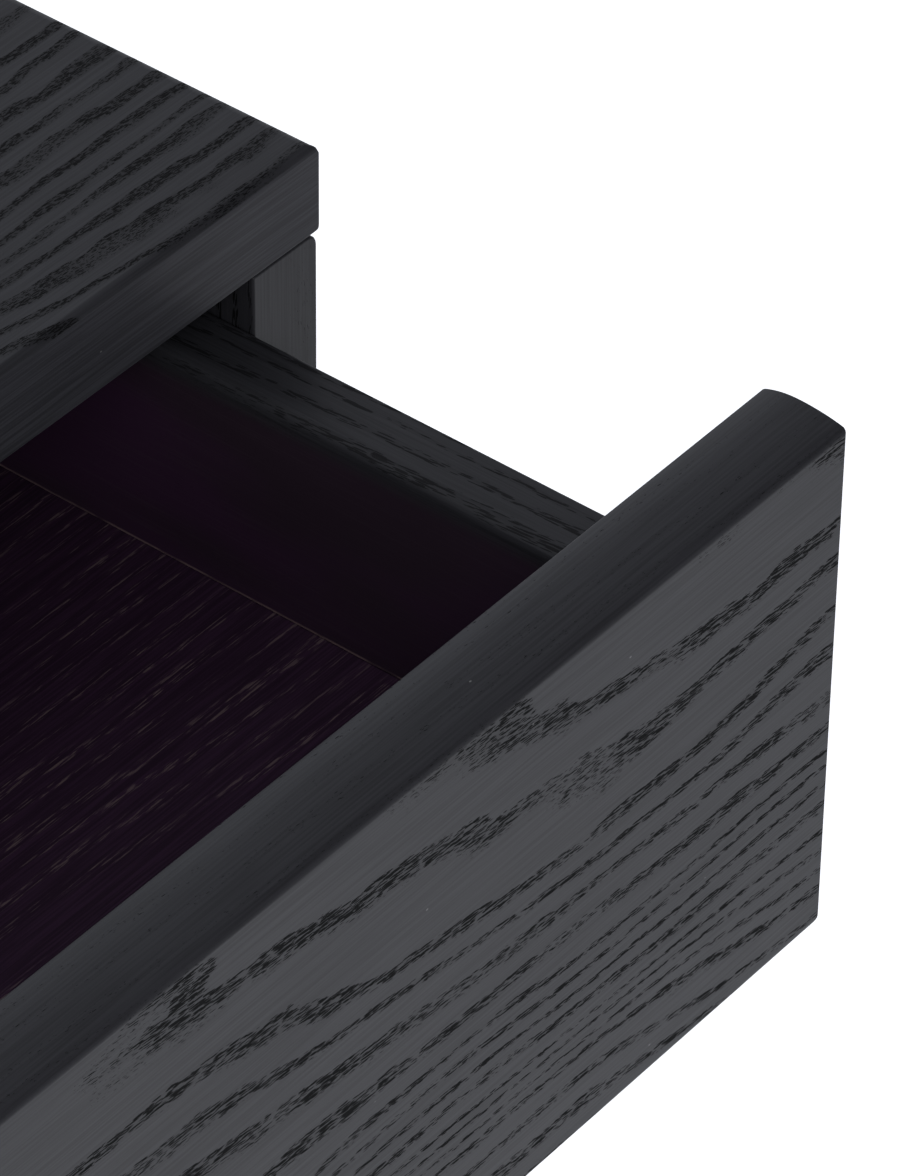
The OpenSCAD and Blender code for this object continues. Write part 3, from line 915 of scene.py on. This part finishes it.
class TABLE_OT_drawer_boxes(bpy.types.Operator):
    """Boxes of the drawers"""

    bl_idname = "table.drawer_boxes"
    bl_label = "Drawer Boxes"

    def execute(self, context):
        e = edges()
        for number, drawer in enumerate(DRAWERS):
            body = f"{drawer}_drawer"
            away = 900 * number
            bottom_low, bottom_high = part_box(f"{body}_bottom")
            levels = (bottom_low.z - 0.1 * MM, bottom_high.z + 0.1 * MM)
            drop = -700
            for side, inner in (("left", "right"), ("right", "left")):
                node = f"{body}_{side}_side"
                low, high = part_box(node)
                middle = (low.x + high.x) / 2 / MM
                inner_side = (middle - 1, middle + 1, *((0.0, 1.0) if inner == "right" else (1.0, 0.0)))
                cut = {
                    "axes": "YZX", "shift": (away + 60 * len(side), drop, 0), "heart": 60.0,
                    "gloss": 0.24, "depth": 0.6,
                    "calm": ("Y", 24.0, 21.0), "calm_grain": 0.2, "inner_below": (17.0, 22.0),
                    # worn_at is the height of the painted highlight line, just above the groove for the
                    # bottom
                    "inner_side": inner_side, "worn_at": levels[1] / MM + drop + 0.1,
                }
                span = (high.x - 6 * MM, high.x + MM) if inner == "right" else (low.x - MM, low.x + 6 * MM)
                groove = ((span[0], low.y - MM, levels[0]), (span[1], high.y + MM, levels[1]))
                radii = {f"{inner} top": e.box_side, f"{side} top": 1.0 * MM}
                wood = open_pore_wood(f"{body} {side} side wood", cut)
                board(node, body, "dark_inner_wood", radii, wood, groove=groove)
            cut = {"axes": "XZY", "shift": (away, -690, 0), "heart": 50.0}
            cross = inner_wood(f"{body} cross wood", cut)
            low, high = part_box(f"{body}_box_front")
            groove = ((low.x - MM, high.y - 6 * MM, levels[0]), (high.x + MM, high.y + MM, levels[1]))
            bores = [(f"{body}_front_screws", (0, 1, 0))]
            board(f"{body}_box_front", body, "dark_inner_wood", {}, cross, bores, groove)
            board(f"{body}_back", body, "dark_inner_wood", {}, cross)
            cut = {"axes": "XYZ", "shift": (away - 200, 190, -668), "heart": 30.0, "ring": 0.6}
            wood = inner_wood(f"{body} bottom wood", {**cut, "wander": 20.0})
            bores = [(f"{body}_bottom_screws", (0, 0, -1))]
            board(f"{body}_bottom", body, "dark_inner_wood", {}, wood, bores)
        return {"FINISHED"}


class TABLE_OT_strips(bpy.types.Operator):
    """Runners, kickers, stop blocks and glide strips"""

    bl_idname = "table.strips"
    bl_label = "Runners and Kickers"

    def execute(self, context):
        wood = inner_wood("strip wood", {"axes": "YXZ", "shift": (0, 0, -690), "heart": 30.0})
        for bay in DRAWERS:
            for side in ("left", "right"):
                for kind in ("runner", "kicker"):
                    dress_node(f"{bay}_bay_{side}_{kind}", wood)
        cut = {"axes": "XYZ", "shift": (0, 0, -730), "heart": 25.0}
        dress_node("stop_blocks", inner_wood("stop wood", cut))
        nylon = plastic("white nylon", (0.82, 0.82, 0.78), (0.70, 0.70, 0.66), 0.38, 0.02 * MM)
        for node in ("runner_glide_strips", "left_drawer_stop_tab", "right_drawer_stop_tab"):
            dress_node(node, nylon)
        return {"FINISHED"}


class TABLE_OT_fittings(bpy.types.Operator):
    """Screws, cam fittings, dowels, bumpers and floor glides"""

    bl_idname = "table.fittings"
    bl_label = "Fittings"

    def execute(self, context):
        zinc = zinc_plate("zinc plated steel")
        beech = raw_beech("raw beech")
        glide = plastic("black glide plastic", (0.030, 0.030, 0.030), (0.018, 0.018, 0.018), 0.45, 0.04 * MM)
        rubber = plastic("clear bumper", (0.62, 0.64, 0.66), (0.50, 0.52, 0.55), 0.22, 0.01 * MM)
        zinc_nodes = [
            "cam_bolts", "cam_discs", "divider_screws", "back_panel_screws", "runner_screws",
            "kicker_screws", "stop_block_screws",
        ]
        beech_nodes = ["slab_dowels", "board_dowels"]
        for drawer in DRAWERS:
            zinc_nodes += [f"{drawer}_drawer_{kind}_screws" for kind in ("front", "bottom", "tab")]
            beech_nodes.append(f"{drawer}_drawer_box_dowels")
            dress_node(f"{drawer}_drawer_bumpers", rubber)
        for node in zinc_nodes:
            dress_node(node, zinc)
        for node in beech_nodes:
            dress_node(node, beech)
        dress_node("floor_glides", glide)
        return {"FINISHED"}


# ---------------------------------------------------------------- stage


class TABLE_OT_studio(bpy.types.Operator):
    """Floor, studio light and camera"""

    bl_idname = "table.studio"
    bl_label = "Studio"

    def add_floor(self):
        deselect()
        bpy.ops.mesh.primitive_plane_add(size=studio().floor_size)
        floor = bpy.context.object
        floor.name = "studio_floor"
        material, bench = new_material("pale floor")
        place = bench.node("ShaderNodeTexCoord")["Object"]
        cloud = bench.noise(place, scale=1.5, detail=2.0)
        tone = bench.colour_mix(cloud, [c * 0.985 for c in studio().floor], studio().floor)
        parts = bench.node("ShaderNodeSeparateXYZ", None, {0: place})
        lit = parts["Y"].step(-1.25, -0.85, 0.12, 1.0) * parts["X"].maths("ABSOLUTE").step(0.9, 1.8, 1.0, 0.4)
        eye = bench.node("ShaderNodeLightPath")["Is Camera Ray"]
        glow = lit.maths("MAXIMUM", eye)
        bench.surface(
            {
                "Base Color": tone,
                "Roughness": 0.9,
                "Specular IOR Level": 0.1,
                "Emission Color": bench.colour_mix(glow, (0, 0, 0), (0.96, 0.98, 1.04)),
                "Emission Strength": studio().floor_glow,
            }
        )
        floor.data.materials.append(material)

    def add_world(self, scene):
        """Soft room, bright behind the table and dark in front of it. The eye sees it white."""
        world = bpy.data.worlds.new("studio room")
        scene.world = world
        world.use_nodes = True
        bench = Bench(world.node_tree)
        direction = bench.node("ShaderNodeTexCoord")["Generated"]
        parts = bench.node("ShaderNodeSeparateXYZ", None, {0: direction})
        level = parts["Y"].step(-0.15, 0.75, 0.10, 0.90)
        room = bench.node("ShaderNodeBackground", None, {"Color": (0.93, 0.96, 1.04, 1.0), "Strength": level})
        seen = bench.node("ShaderNodeBackground", None, {"Color": (1.0, 1.0, 1.0, 1.0), "Strength": 1.0})
        eye = bench.node("ShaderNodeLightPath")["Is Camera Ray"]
        ends = {0: eye, 1: room["Background"], 2: seen["Background"]}
        mixed = bench.node("ShaderNodeMixShader", None, ends)
        bench.node("ShaderNodeOutputWorld", None, {"Surface": mixed["Shader"]})

    def add_softbox(self, name, place, towards, size, power):
        deselect()
        bpy.ops.object.light_add(type="AREA", location=place)
        lamp = bpy.context.object
        lamp.name = name
        lamp.data.shape = "SQUARE"
        lamp.data.size = size
        lamp.data.energy = power
        lamp.data.color = (0.97, 0.98, 1.0)
        lamp.rotation_euler = (Vector(towards) - Vector(place)).to_track_quat("-Z", "Y").to_euler()

    def view_axes(self):
        """Directions to the right of, up from and back along the view, and the point looked at."""
        s = studio()
        low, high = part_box("top_slab")
        aim = Vector((high.x, low.y, low.z)) + Vector(s.aim)
        back = Vector((
            math.sin(s.azimuth) * math.cos(s.elevation),
            -math.cos(s.azimuth) * math.cos(s.elevation),
            math.sin(s.elevation),
        ))
        right = Vector((math.cos(s.azimuth), math.sin(s.azimuth), 0))
        up = back.cross(right)
        turned_right = right * math.cos(s.roll) + up * math.sin(s.roll)
        turned_up = up * math.cos(s.roll) - right * math.sin(s.roll)
        return turned_right, turned_up, back, aim

    def add_camera(self, scene):
        right, up, back, aim = self.view_axes()
        deselect()
        bpy.ops.object.camera_add()
        camera = bpy.context.object
        camera.name = "studio_camera"
        camera.data.lens = studio().lens
        camera.data.sensor_width = 36
        camera.data.clip_start = 0.05
        camera.data.clip_end = 200
        turn = Matrix((right, up, back)).transposed()
        camera.matrix_world = Matrix.Translation(aim + back * studio().distance) @ turn.to_4x4()
        scene.camera = camera

    def execute(self, context):
        scene = context.scene
        self.add_floor()
        self.add_world(scene)
        self.add_softbox("overhead_softbox", (-0.6, 0.1, 3.0), (0, 0.05, 0), 2.4, studio().overhead)
        self.add_softbox("front_softbox", (-1.5, -3.3, 1.7), (0.3, 0, 0.6), 1.8, studio().front)
        _, _, back, aim = self.view_axes()
        self.add_softbox("fill_softbox", aim + back * 3.5, aim, 1.6, studio().fill)
        self.add_camera(scene)
        scene.view_settings.view_transform = "Standard"
        return {"FINISHED"}


PIECES = (
    TABLE_OT_top_slab,
    TABLE_OT_end_panels,
    TABLE_OT_case_boards,
    TABLE_OT_drawer_fronts,
    TABLE_OT_drawer_boxes,
    TABLE_OT_strips,
    TABLE_OT_fittings,
    TABLE_OT_studio,
)


class TABLE_PT_builder(bpy.types.Panel):
    """Sizes, finishes and pieces of the console table"""

    bl_label = "Console Table"
    bl_space_type = "VIEW_3D"
    bl_region_type = "UI"
    bl_category = "Console Table"

    def draw(self, context):
        scene = context.scene
        for group in (scene.table_edges, scene.table_finish, scene.table_studio):
            box = self.layout.box()
            for name in group.__annotations__:
                box.prop(group, name)
        for piece in PIECES:
            self.layout.operator(piece.bl_idname)


GROUPS = {"table_edges": TableEdges, "table_finish": TableFinish, "table_studio": StudioSettings}


def register():
    for group in GROUPS.values():
        bpy.utils.register_class(group)
    for name, group in GROUPS.items():
        setattr(bpy.types.Scene, name, PointerProperty(type=group))
    for piece in (*PIECES, TABLE_PT_builder):
        bpy.utils.register_class(piece)


def unregister():
    for piece in (TABLE_PT_builder, *reversed(PIECES)):
        bpy.utils.unregister_class(piece)
    for name in GROUPS:
        delattr(bpy.types.Scene, name)
    for group in reversed(GROUPS.values()):
        bpy.utils.unregister_class(group)


def main():
    register()
    bpy.ops.table.top_slab()
    bpy.ops.table.end_panels()
    bpy.ops.table.case_boards()
    bpy.ops.table.drawer_fronts()
    bpy.ops.table.drawer_boxes()
    bpy.ops.table.strips()
    bpy.ops.table.fittings()
    bpy.ops.table.studio()
    deselect()


if __name__ == "__main__":
    main()
